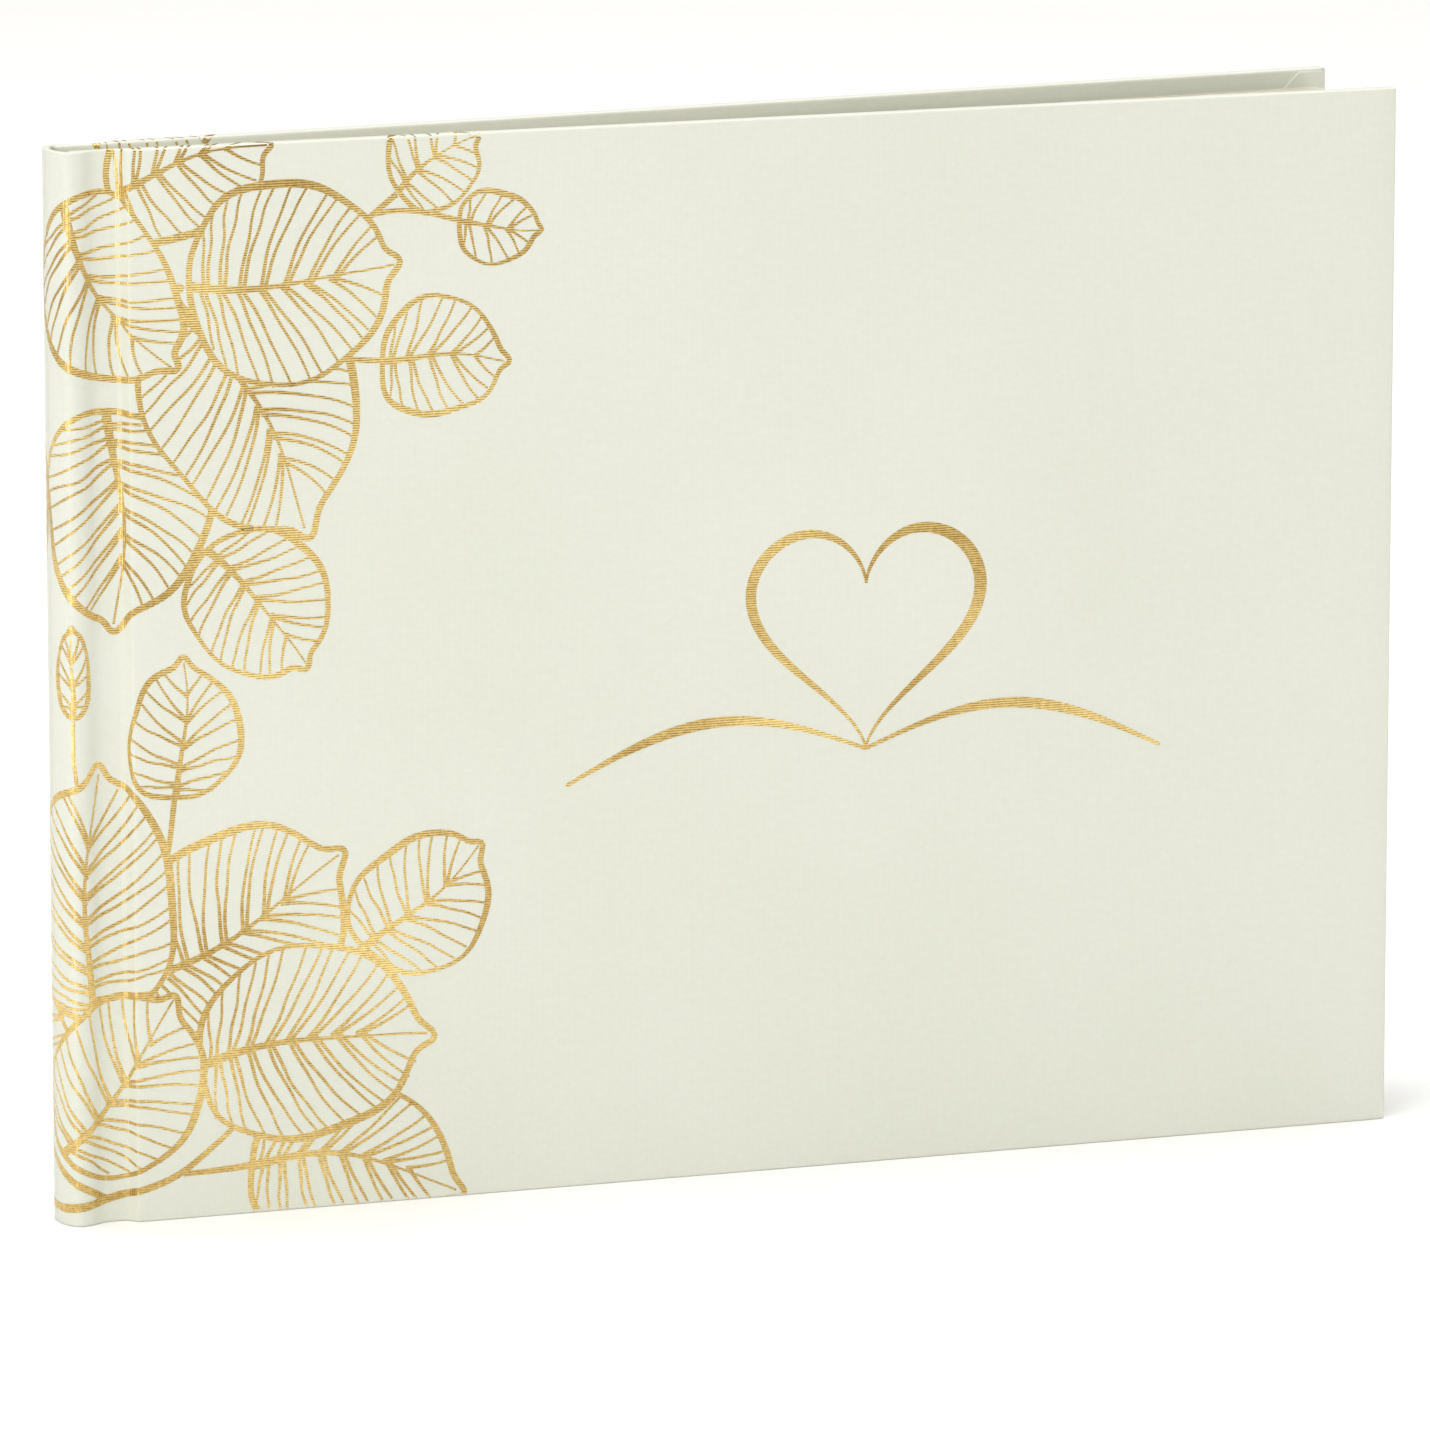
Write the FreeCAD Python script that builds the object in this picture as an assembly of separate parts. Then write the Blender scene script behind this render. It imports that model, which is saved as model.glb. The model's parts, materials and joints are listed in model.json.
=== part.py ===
import FreeCAD, Part
import os
from math import cos, hypot, pi, radians, sin, sqrt

from FreeCAD import Vector

# A hard-cover guest book that stands on its tail with both covers a little open and its leaves fanned
# between them. +Z is up, the spine is at -X, the front cover faces -Y, and the origin is the middle of
# the footprint on the surface that the book stands on. Pieces are drawn with the book shut and are then
# turned about their own hinge lines into the standing pose. Lengths are millimetres, angles degrees.

# Driving dimensions of the closed book.
book_width = 248.0
book_height = 188.0
cover_splay = 2.5
board_thickness = 2.2
wrap_thickness = 0.3
turn_in_thickness = 0.15
turn_in_width = 15.0
pastedown_thickness = 0.15
pastedown_inset = 5.5
square = 3.0
section_count = 8
section_pitch = 0.6
section_thickness = 0.5
flyleaf_thickness = 0.25
leaf_gap = 0.1
glue_gap = 0.05
joint_width = 8.8
spine_bulge = 2.0
spine_board_thickness = 0.8
mull_thickness = 0.25
liner_thickness = 0.2
headband_radius = 0.8
thread_radius = 0.2
sewing_stations = 5
foil_thickness = 0.05
foil_line = 1.2
foil_margin = 0.4

# How far each leaf body turns for each degree that its cover turns, from the cover inwards.
flyleaf_share = 0.78
section_shares = (0.62, 0.44, 0.26, 0.09)

# Half thicknesses of the closed book, counted outwards from the middle of the block.
block_half = section_count * section_pitch / 2
flyleaf_in = block_half + leaf_gap
flyleaf_out = flyleaf_in + flyleaf_thickness
cover_in = flyleaf_out + leaf_gap
board_in = cover_in + pastedown_thickness + turn_in_thickness
board_out = board_in + board_thickness
cover_out = board_out + wrap_thickness
groove_out = cover_in + 1.1

# Places along X, counted from the line where the block's folds begin.
fold_x = 1.0
hinge_x = 2.0
board_x = hinge_x + joint_width + 0.2
stub_x = 6.0
leaf_hinge_x = 7.5
leaf_x = leaf_hinge_x + 2.5
joint_end_x = leaf_hinge_x - 0.5
back_x = -book_width / 2 + spine_bulge
fore_x = hinge_x + (book_width - spine_bulge - hinge_x) / cos(radians(cover_splay))
leaf_fore_x = fore_x - square
leaf_bottom = square
leaf_top = book_height - square


def box(x0, x1, y0, y1, z0, z1):
    return Part.makeBox(x1 - x0, y1 - y0, z1 - z0, Vector(x0, y0, z0))


def layer(side, x0, x1, near, far, z0, z1):
    """A flat layer on the front (-1) or rear (+1) side, between two distances from the block's middle."""
    return box(x0, x1, min(side * near, side * far), max(side * near, side * far), z0, z1)


def spline(points):
    curve = Part.BSplineCurve()
    curve.interpolate([Vector(*p) for p in points])
    return curve.toShape()


def strip_face(points, thickness):
    """A strip of one thickness whose left-hand edge follows plan points."""
    inner = []
    for i, (x, y) in enumerate(points):
        ahead = points[min(i + 1, len(points) - 1)]
        behind = points[max(i - 1, 0)]
        run = hypot(ahead[0] - behind[0], ahead[1] - behind[1])
        inner.append(
            (x + thickness * (ahead[1] - behind[1]) / run, y - thickness * (ahead[0] - behind[0]) / run)
        )
    ends = [
        Part.makeLine(Vector(*points[-1]), Vector(*inner[-1])),
        Part.makeLine(Vector(*inner[0]), Vector(*points[0])),
    ]
    return Part.Face(Part.Wire([spline(points), ends[0], spline(inner[::-1]), ends[1]]))


def raised(face, z0, z1):
    solid = face.extrude(Vector(0, 0, z1 - z0))
    solid.translate(Vector(0, 0, z0))
    return solid


def turned(shape, x, y, degrees):
    copy = shape.copy()
    copy.rotate(Vector(x, y, 0), Vector(0, 0, 1), degrees)
    return copy


def save(node, shape):
    placed = shape.copy()
    placed.translate(Vector(back_x, 0, 0))
    placed.exportStep("parts/" + node + ".step")
    return placed


def on_cover(side, shape):
    return turned(shape, hinge_x, side * cover_in, side * cover_splay)


# ---- Spine: covering, stiffener, linings, endbands and sewing -------------------------------------------


def back_line(inset, half_width, steps=8):
    """The rounded back in plan from the front shoulder to the rear one, drawn in by an inset."""
    shoulder = cover_out - 1.0
    sagitta = spine_bulge - 0.7
    radius = (shoulder**2 + sagitta**2) / (2 * sagitta)
    points = []
    for i in range(steps + 1):
        y = half_width * (2 * i / steps - 1)
        points.append((radius - spine_bulge - sqrt((radius - inset) ** 2 - y**2), y))
    return points


def shoulder_line(side):
    """Over the spine's shoulder and down into the joint groove, outer face."""
    points = [(0.0, cover_out - 0.25), (0.8, cover_out), (1.6, cover_out - 0.07), (2.5, cover_out - 0.3)]
    points += [(3.4, cover_out - 0.75), (4.2, groove_out + 0.45), (5.0, groove_out + 0.12)]
    points += [(5.8, groove_out), (joint_end_x, groove_out)]
    return [(x, side * y) for x, y in points]


def spine_pieces():
    outside = shoulder_line(-1)[::-1] + back_line(0, cover_out - 1.0) + shoulder_line(1)
    cover = raised(strip_face(outside, wrap_thickness), 0, book_height)
    board_line = back_line(wrap_thickness + glue_gap, cover_out - 1.4)
    stiffener = strip_face(board_line, spine_board_thickness)
    flap_line = back_line(wrap_thickness + spine_board_thickness + 2 * glue_gap, block_half - 0.4)
    flap = strip_face(flap_line, turn_in_thickness)
    edge_line = back_line(wrap_thickness / 2, block_half - 0.4)
    edge = strip_face(
        edge_line, wrap_thickness / 2 + spine_board_thickness + 2 * glue_gap + turn_in_thickness / 2
    )
    for low, high in ((0, turn_in_width), (book_height - turn_in_width, book_height)):
        cover = cover.fuse(raised(flap, low, high))
    for low in (0, book_height - wrap_thickness):
        cover = cover.fuse(raised(edge, low, low + wrap_thickness))
    save("spine_wrap", cover.removeSplitter())
    low = wrap_thickness + glue_gap
    save("spine_board", raised(stiffener, low, book_height - low))


def block_back_pieces():
    gauze_x = fold_x - 2 * thread_radius - 0.02
    back = box(gauze_x - mull_thickness, gauze_x, -cover_in - 0.05, cover_in + 0.05, 12, book_height - 12)
    gauze = back
    for side in (-1, 1):
        flange = layer(
            side,
            gauze_x - mull_thickness,
            joint_end_x - 0.5,
            cover_in + 0.05,
            cover_in + 0.05 + mull_thickness,
            12,
            book_height - 12,
        )
        gauze = gauze.fuse(flange)
    save("mull", gauze.removeSplitter())
    liner_x = gauze_x - mull_thickness - 0.02
    save("spine_lining", box(liner_x - liner_thickness, liner_x, -block_half, block_half, 8, book_height - 8))
    for node, low in (("headband", leaf_top), ("tailband", leaf_bottom - 2 * headband_radius)):
        bead = Part.makeCylinder(
            headband_radius,
            2 * block_half,
            Vector(fold_x + headband_radius, -block_half, low + headband_radius),
            Vector(0, 1, 0),
        )
        save(node, bead)


def fold_pieces():
    folds = []
    links = []
    for i in range(section_count):
        y = (i + 0.5 - section_count / 2) * section_pitch
        half = section_thickness / 2
        fold = box(fold_x + half, stub_x, y - half, y + half, leaf_bottom, leaf_top)
        back = Part.makeCylinder(half, leaf_top - leaf_bottom, Vector(fold_x + half, y, leaf_bottom))
        folds.append(fold.fuse(back).removeSplitter())
    save("section_folds", Part.makeCompound(folds))
    spacing = (leaf_top - leaf_bottom) / (sewing_stations + 1)
    for k in range(sewing_stations):
        z = leaf_bottom + spacing * (k + 1)
        x = fold_x - thread_radius - 0.01
        reach = block_half - section_pitch / 2
        link = Part.makeCylinder(thread_radius, 2 * reach, Vector(x, -reach, z), Vector(0, 1, 0))
        for i in range(section_count):
            y = (i + 0.5 - section_count / 2) * section_pitch
            stitch = Part.makeCylinder(thread_radius, 6, Vector(x, y, z - 3))
            link = link.fuse(stitch)
        links.append(link)
    save("sewing_thread", Part.makeCompound(links))
    for side, name in ((-1, "front"), (1, "rear")):
        stub = layer(side, fold_x, stub_x, flyleaf_in, flyleaf_out, leaf_bottom, leaf_top)
        save(name + "_endpaper_fold", stub)


# ---- Covers: greyboard, covering paper with its turn-ins, pastedown -------------------------------------


def cover_pieces(side, name):
    board = layer(
        side,
        board_x,
        fore_x - wrap_thickness,
        board_in,
        board_out,
        wrap_thickness,
        book_height - wrap_thickness,
    )
    save(name + "_board", on_cover(side, board))
    skin = layer(side, board_x, fore_x, board_in - turn_in_thickness, cover_out, 0, book_height)
    window = layer(
        side,
        board_x - 1,
        fore_x - turn_in_width,
        board_in - turn_in_thickness - 1,
        board_in,
        turn_in_width,
        book_height - turn_in_width,
    )
    save(name + "_wrap", on_cover(side, skin.cut(board).cut(window)))
    pastedown = layer(
        side,
        board_x,
        fore_x - pastedown_inset,
        cover_in,
        cover_in + pastedown_thickness,
        pastedown_inset,
        book_height - pastedown_inset,
    )
    save(name + "_pastedown", on_cover(side, pastedown))


# ---- Leaves: flyleaves and sewn sections ----------------------------------------------------------------


def leaf_pieces(side, name):
    middle = (flyleaf_in + flyleaf_out) / 2
    leaf = layer(side, leaf_x, leaf_fore_x, flyleaf_in, flyleaf_out, leaf_bottom, leaf_top)
    save(
        name + "_flyleaf",
        turned(leaf, leaf_hinge_x, side * middle, side * cover_splay * flyleaf_share),
    )
    for i, share in enumerate(section_shares):
        middle = block_half - (i + 0.5) * section_pitch
        half = section_thickness / 2
        leaves = layer(side, leaf_x, leaf_fore_x, middle - half, middle + half, leaf_bottom, leaf_top)
        number = i + 1 if side < 0 else section_count - i
        save(
            "section_" + str(number),
            turned(leaves, leaf_hinge_x, side * middle, side * cover_splay * share),
        )


# ---- Gold foil: stamped leaves and flourish -------------------------------------------------------------


def leaf_outline(base, tip, width, shrink, steps=9):
    """A rounded leaf in the plane of the cover: full below the middle, drawn out to a point at its tip."""
    along = (tip[0] - base[0], tip[1] - base[1])
    length = hypot(*along)
    ux, uz = along[0] / length, along[1] / length
    left, right = [], []
    for i in range(steps + 1):
        s = i / steps
        half = (width / 2 - shrink) * sin(pi * s**0.8) ** 0.75
        reach = shrink + s * (length - 2.6 * shrink)
        x, z = base[0] + ux * reach, base[1] + uz * reach
        left.append((x - uz * half, z + ux * half))
        right.append((x + uz * half, z - ux * half))
    return Part.Face(Part.Wire([spline(left), spline(right[::-1])]))


def foil_leaf(base, tip, width):
    """The stamped line round a leaf, with its midrib."""
    ring = leaf_outline(base, tip, width, 0).cut(leaf_outline(base, tip, width, foil_line))
    length = hypot(tip[0] - base[0], tip[1] - base[1])
    nx, nz = (base[1] - tip[1]) / length, (tip[0] - base[0]) / length
    rib = Part.Face(
        Part.makePolygon(
            [
                Vector(base[0] + nx * foil_line, base[1] + nz * foil_line),
                Vector(base[0] - nx * foil_line, base[1] - nz * foil_line),
                Vector(*tip),
                Vector(base[0] + nx * foil_line, base[1] + nz * foil_line),
            ]
        )
    )
    return ring.fuse(rib)


def laid_on(side, faces, x0, x1):
    """Stamped faces drawn as (x, height), cut to the cover and laid on its outer face."""
    films = [face.extrude(Vector(0, 0, foil_thickness)) for face in faces]
    drawn = films[0].multiFuse(films[1:]).removeSplitter()
    film = drawn.common(box(x0, x1, foil_margin, book_height - foil_margin, 0, foil_thickness))
    film = Part.makeCompound(film.Solids)
    film.rotate(Vector(0, 0, 0), Vector(1, 0, 0), 90)
    film.translate(Vector(0, -cover_out if side < 0 else cover_out + foil_thickness, 0))
    return film


# Leaves on the front cover, each as base, tip and width: an upper and a lower spray by the joint.
upper_spray = (
    ((9, 181), (28, 187), 28),
    ((24, 163), (68, 165), 38),
    ((9, 178), (20, 142), 22),
    ((25, 157), (49, 113), 37),
    ((9, 134), (9, 94), 30),
    ((29, 108), (49, 88), 25),
    ((66, 147), (90, 147), 20),
    ((68, 179), (92, 189), 19),
    ((81, 174), (97, 172), 11),
)
lower_spray = (
    ((22, 59), (24, 86), 20),
    ((9, 19), (11, 66), 30),
    ((15, 26), (56, 50), 36),
    ((61, 32), (83, 52), 22),
    ((27, 10), (74, 15), 34),
    ((9, 2), (25, 24), 28),
    ((38, -6), (80, -8), 30),
)
flourish_x, flourish_z = 146.0, 98.0
heart_scale = 1.35
swash_length = 52.0


def mirrored(spray):
    """The same spray turned about half its height, for the cover that the front one mirrors."""
    return [((b[0], book_height - b[1]), (t[0], book_height - t[1]), w) for b, t, w in spray]


def heart(scale):
    points = []
    for i in range(41):
        t = 2 * pi * i / 40
        points.append(
            (
                flourish_x + scale * 16 * sin(t) ** 3,
                flourish_z + scale * (13 * cos(t) - 5 * cos(2 * t) - 2 * cos(3 * t) - cos(4 * t)),
            )
        )
    half = len(points) // 2
    return Part.Face(Part.Wire([spline(points[: half + 1]), spline(points[half:])]))


def swash(direction):
    points = []
    for i in range(13):
        s = i / 12
        x = flourish_x + direction * (4 + s * swash_length)
        points.append((x, flourish_z - 17 * heart_scale + 8 * sin(pi * s) - 3 * s))
    return strip_face(points, direction * foil_line)


def foil_pieces():
    front = [foil_leaf(*leaf) for leaf in upper_spray + lower_spray]
    save("front_foil", on_cover(-1, laid_on(-1, front, board_x, fore_x)))
    rear = [foil_leaf(*leaf) for leaf in mirrored(upper_spray[:5] + lower_spray[:3])]
    save("rear_foil", on_cover(1, laid_on(1, rear, board_x, fore_x)))
    flourish = [heart(heart_scale).cut(heart(heart_scale - foil_line / 13)), swash(-1), swash(1)]
    save("front_flourish", on_cover(-1, laid_on(-1, flourish, board_x, fore_x)))
    bands = []
    lift = foil_thickness + 0.02
    for low, high in ((120, 184), (30, 100)):
        film = raised(strip_face(back_line(-lift, 3.8), foil_thickness), low, high)
        hollow = box(-10, 10, -2.6, 2.6, low + foil_line, high - foil_line)
        bands += film.cut(hollow).Solids
    save("spine_foil", Part.makeCompound(bands))


os.makedirs("parts", exist_ok=True)
spine_pieces()
block_back_pieces()
fold_pieces()
for cover_side, cover_name in ((-1, "front"), (1, "rear")):
    cover_pieces(cover_side, cover_name)
    leaf_pieces(cover_side, cover_name)
foil_pieces()
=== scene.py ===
import json
import math
import random

import bmesh
import bpy
import numpy as np
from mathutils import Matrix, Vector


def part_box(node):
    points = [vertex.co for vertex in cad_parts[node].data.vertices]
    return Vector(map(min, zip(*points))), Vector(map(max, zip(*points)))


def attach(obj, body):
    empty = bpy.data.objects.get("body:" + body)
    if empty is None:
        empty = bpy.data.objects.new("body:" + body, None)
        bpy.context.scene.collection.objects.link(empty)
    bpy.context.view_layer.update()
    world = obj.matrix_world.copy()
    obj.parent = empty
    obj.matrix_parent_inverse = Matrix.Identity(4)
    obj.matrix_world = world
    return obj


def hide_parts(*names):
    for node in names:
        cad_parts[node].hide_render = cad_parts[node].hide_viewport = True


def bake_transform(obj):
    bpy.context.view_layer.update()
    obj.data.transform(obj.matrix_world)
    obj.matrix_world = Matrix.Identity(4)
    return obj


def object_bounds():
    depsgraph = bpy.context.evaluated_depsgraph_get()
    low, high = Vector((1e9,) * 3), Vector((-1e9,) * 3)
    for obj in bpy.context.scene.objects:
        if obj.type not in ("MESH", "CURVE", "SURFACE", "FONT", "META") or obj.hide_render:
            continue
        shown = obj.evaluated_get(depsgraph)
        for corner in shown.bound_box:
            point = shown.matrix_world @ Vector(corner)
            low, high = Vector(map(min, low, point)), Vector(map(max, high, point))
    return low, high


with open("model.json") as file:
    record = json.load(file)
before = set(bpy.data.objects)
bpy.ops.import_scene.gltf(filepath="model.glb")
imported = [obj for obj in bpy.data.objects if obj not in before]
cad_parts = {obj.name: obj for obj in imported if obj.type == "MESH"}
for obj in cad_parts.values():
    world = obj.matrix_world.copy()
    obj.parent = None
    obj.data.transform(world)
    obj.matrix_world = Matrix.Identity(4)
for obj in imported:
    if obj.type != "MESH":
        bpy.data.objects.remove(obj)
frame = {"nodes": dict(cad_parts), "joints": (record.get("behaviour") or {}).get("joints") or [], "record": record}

cad_low, cad_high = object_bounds()
mm = 0.001

# ---- Table, lights and camera ---------------------------------------------------------------------------
# The book stands on a plain pale table top in soft studio light: a low lamp on the left, a faint one on the
# right, and a broad lamp overhead that lifts the table to white. A helper program fitted the camera's
# settings to the cover's corners.
table_reach = 30.0
camera_yaw = math.radians(22.271)
camera_pitch = math.radians(10.947)
camera_place = (-0.71436, -1.74313, 0.44500)
lens_mm = 273.33
lamps = {
    "window_lamp": ((-1.2, -1.1, 0.55), (0.8, 0.8), 8.2, (1.0, 0.99, 0.975)),
    "right_lamp": ((1.6, -2.6, 1.4), (1.6, 1.6), 0.6, (1.0, 0.985, 0.96)),
    "overhead_lamp": ((0.0, 0.05, 2.6), (4.0, 4.0), 98.0, (1.0, 1.0, 1.0)),
}


def new_mesh(name, vertices, faces):
    mesh = bpy.data.meshes.new(name)
    mesh.from_pydata([tuple(map(float, v)) for v in vertices], [], faces)
    piece = bpy.data.objects.new(name, mesh)
    bpy.context.scene.collection.objects.link(piece)
    return piece


def new_material(name):
    material = bpy.data.materials.new(name)
    material.use_nodes = True
    tree = material.node_tree
    return material, tree.nodes, tree.links, tree.nodes["Principled BSDF"]


def noise_texture(nodes, links, where, scale, detail=2.0):
    texture = nodes.new("ShaderNodeTexNoise")
    texture.inputs["Scale"].default_value = scale
    texture.inputs["Detail"].default_value = detail
    links.new(where, texture.inputs["Vector"])
    return texture.outputs["Fac"]


def tones(nodes, links, level, dark, light, low=0.0, high=1.0):
    """A colour that goes from dark to light as a texture's level goes from low to high."""
    ramp = nodes.new("ShaderNodeValToRGB")
    first, last = ramp.color_ramp.elements
    first.position, last.position = low, high
    first.color, last.color = (*dark, 1), (*light, 1)
    links.new(level, ramp.inputs["Fac"])
    return ramp.outputs["Color"]


def relief(nodes, links, height, depth, strength=1.0):
    bump = nodes.new("ShaderNodeBump")
    bump.inputs["Strength"].default_value = strength
    bump.inputs["Distance"].default_value = depth
    links.new(height, bump.inputs["Height"])
    return bump.outputs["Normal"]


def coat(links, shader, colour, normal, roughness, specular=0.5):
    """Join a colour and a relief to the shader, with its roughness and its specular level."""
    links.new(colour, shader.inputs["Base Color"])
    if normal:
        links.new(normal, shader.inputs["Normal"])
    shader.inputs["Roughness"].default_value = roughness
    shader.inputs["Specular IOR Level"].default_value = specular


def table_finish():
    material, nodes, links, shader = new_material("pale_table")
    where = nodes.new("ShaderNodeTexCoord").outputs["Object"]
    cloud = noise_texture(nodes, links, where, 3.0)
    tone = tones(nodes, links, cloud, (0.945, 0.945, 0.94), (0.965, 0.965, 0.96))
    coat(links, shader, tone, None, 0.9, 0.1)
    return material


r = table_reach
table = new_mesh("table_top", [(-r, -r, 0), (r, -r, 0), (r, r, 0), (-r, r, 0)], [(0, 1, 2, 3)])
table.data.materials.append(table_finish())

for lamp_name, (place, size, power, colour) in lamps.items():
    lamp_data = bpy.data.lights.new(lamp_name, "AREA")
    lamp_data.shape = "RECTANGLE"
    lamp_data.size, lamp_data.size_y = size
    lamp_data.energy = power
    lamp_data.color = colour
    lamp = bpy.data.objects.new(lamp_name, lamp_data)
    lamp.location = place
    lamp.rotation_euler = (-lamp.location).to_track_quat("-Z", "Y").to_euler()
    bpy.context.scene.collection.objects.link(lamp)

world = bpy.data.worlds.new("studio")
bpy.context.scene.world = world
world.use_nodes = True
world.node_tree.nodes["Background"].inputs["Color"].default_value = (1.0, 0.985, 0.93, 1)
world.node_tree.nodes["Background"].inputs["Strength"].default_value = 0.4

camera_data = bpy.data.cameras.new("camera")
camera_data.lens = lens_mm
camera_data.clip_start = 0.01
camera_data.clip_end = 100.0
camera = bpy.data.objects.new("camera", camera_data)
camera.location = camera_place
camera.rotation_euler = (math.pi / 2 - camera_pitch, 0, -camera_yaw)
bpy.context.scene.collection.objects.link(camera)
bpy.context.scene.camera = camera
bpy.context.scene.view_settings.view_transform = "Standard"

# ---- Covering paper -------------------------------------------------------------------------------------
# One sheet of linen-embossed sage paper runs from fore edge to fore edge over both boards and the spine.
# It dips into a joint beside each board, and is turned in over the edges with mitred corners.
joints = {j["name"]: j for j in frame["joints"]}
shares = {c["joint"]: c["ratio"] for c in frame["record"]["behaviour"]["couplings"]}
front_hinge = joints["front_cover_hinge"]
splay = math.radians(-front_hinge["range_deg"][0])
hinge_x = front_hinge["pos_m"][0]
hinge_y = -front_hinge["pos_m"][1]
spine_x = cad_low[0] + 0.05 * mm
fore_x = hinge_x + (cad_high[0] - hinge_x) / math.cos(splay)
book_height = cad_high[2]
cover_out = hinge_y + 2.8 * mm
cover_depth = 2.6 * mm
edge_round = 0.38 * mm
edge_ease, edge_drop = 5 * mm, 0.26 * mm
turn_in = 15 * mm
mitre_overlap = 5 * mm
paper_thickness = 0.2 * mm
spine_depth, joint_depth = 1.3 * mm, 0.8 * mm
spine_half, plumb_from = 7 * mm, 8 * mm
weave_pitch = 0.42 * mm
wave_per_pitch = 0.314159  # a wave texture's scale, times the pitch of its bands
# Points of the outer face in plan from the middle of the spine, over its shoulder and through the joint.
# Each is (x behind the spine's back, y out from the middle of the book).
back_to_board = (
    (0.0, 0.0), (0.15, 1.7), (0.6, 3.3), (1.2, 4.6), (1.9, 5.35), (2.75, 5.65), (3.65, 5.6), (4.6, 5.36),
    (5.6, 4.88), (6.6, 4.32), (7.6, 3.94), (8.6, 3.74), (9.6, 3.64), (10.6, 3.62), (11.4, 3.76), (12.0, 4.2),
    (12.55, 4.95), (13.0, 5.5), (13.6, 5.63), (14.6, 5.65),
)
bend_start = spine_x + 3.2 * mm
bend_end = spine_x + 12.4 * mm


def smooth(points, steps):
    """A Catmull-Rom line through points, with its ends kept straight."""
    p = np.array(points, float)
    p = np.vstack([2 * p[0] - p[1], p, 2 * p[-1] - p[-2]])
    line = []
    for a, b, c, d in zip(p, p[1:], p[2:], p[3:]):
        for k in range(steps):
            t = k / steps
            line.append(
                0.5 * (2 * b + (c - a) * t + (2 * a - 5 * b + 4 * c - d) * t**2
                       + (3 * b - a - 3 * c + d) * t**3)
            )
    line.append(p[-2])
    return np.array(line)


def turned(x, y, side, pivot, angle):
    """Plan points turned outwards about a hinge line on one side of the book."""
    a = side * angle
    dx, dy = x - pivot[0], y - pivot[1]
    return pivot[0] + dx * np.cos(a) - dy * np.sin(a), pivot[1] + dx * np.sin(a) + dy * np.cos(a)


def eased(x, start, end):
    t = np.clip((x - start) / (end - start), 0, 1)
    return t * t * (3 - 2 * t)


def bend_share(x):
    return eased(x, bend_start, bend_end)


def case_line():
    """The outer face in plan: distance along the paper, place and outward normal, for the front half."""
    curve = smooth([(spine_x / mm + x, y) for x, y in back_to_board], 6) * mm
    end = fore_x - edge_round
    flat = np.concatenate([
        np.linspace(curve[-1][0], end - 6 * mm, 60)[1:], np.linspace(end - 5.5 * mm, end, 15),
    ])
    easing = np.clip((flat - fore_x + edge_ease) / edge_ease, 0, 1) ** 2
    curve = np.vstack([curve, np.column_stack([flat, cover_out - edge_drop * easing])])
    run = np.gradient(curve, axis=0)
    run /= np.linalg.norm(run, axis=1)[:, None]
    along = np.concatenate([[0], np.cumsum(np.linalg.norm(np.diff(curve, axis=0), axis=1))])
    return along, curve, np.column_stack([-run[:, 1], run[:, 0]])


sheet_s, sheet_xy, sheet_normal = case_line()
sheet_length = sheet_s[-1]


def on_case(side, s, t, sink):
    """Points of the standing book from places on the flat sheet: s from the middle of the spine, height
    t, and how far they sink below the outer face."""
    s = np.asarray(s, float)
    x = np.interp(np.abs(s), sheet_s, sheet_xy[:, 0])
    y = np.interp(np.abs(s), sheet_s, sheet_xy[:, 1])
    nx = np.interp(np.abs(s), sheet_s, sheet_normal[:, 0])
    ny = np.interp(np.abs(s), sheet_s, sheet_normal[:, 1])
    plumb = np.clip(sink / joint_depth, 0, 1) * np.clip((np.abs(s) - plumb_from) / mm, 0, 1)
    nx, ny = nx * (1 - plumb), ny + (1 - ny) * plumb
    x, y = x - nx * sink, y - ny * sink
    facing = np.where(s < 0, -side, side)
    px, py = turned(x, facing * y, facing, (hinge_x, facing * hinge_y), splay * bend_share(x))
    return np.column_stack([px, py, np.broadcast_to(t, px.shape)])


def over_edge(depth, steps=4):
    """The way over a board's edge and in under it: how far out, and how deep."""
    way = [(edge_round * math.sin(a), edge_round * (1 - math.cos(a)))
           for a in np.linspace(0, math.pi / 2, steps)]
    way += [(edge_round * math.cos(a), depth - edge_round + edge_round * math.sin(a))
            for a in np.linspace(0, math.pi / 2, steps)]
    return way


def sheet_depth(s):
    """How thick the case is under the paper: spine strip, bare joint, or board."""
    outer = np.interp(s, sheet_s, sheet_xy[:, 1])
    thin = np.interp(s, [spine_half - 1.5 * mm, spine_half + 1.5 * mm], [spine_depth, joint_depth])
    return np.where(s < spine_half, thin, np.clip(outer - cover_out + cover_depth, joint_depth, cover_depth))


def map_sheet(piece, uvs):
    """Give a piece its places on the flat sheet as the UV map that the weave reads."""
    layer = piece.data.uv_layers.new(name="sheet")
    index = np.empty(len(piece.data.loops), int)
    piece.data.loops.foreach_get("vertex_index", index)
    layer.data.foreach_set("uv", np.array(uvs)[index].ravel())


def face_outwards(piece):
    work = bmesh.new()
    work.from_mesh(piece.data)
    bmesh.ops.recalc_face_normals(work, faces=work.faces)
    work.to_mesh(piece.data)
    work.free()


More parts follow.
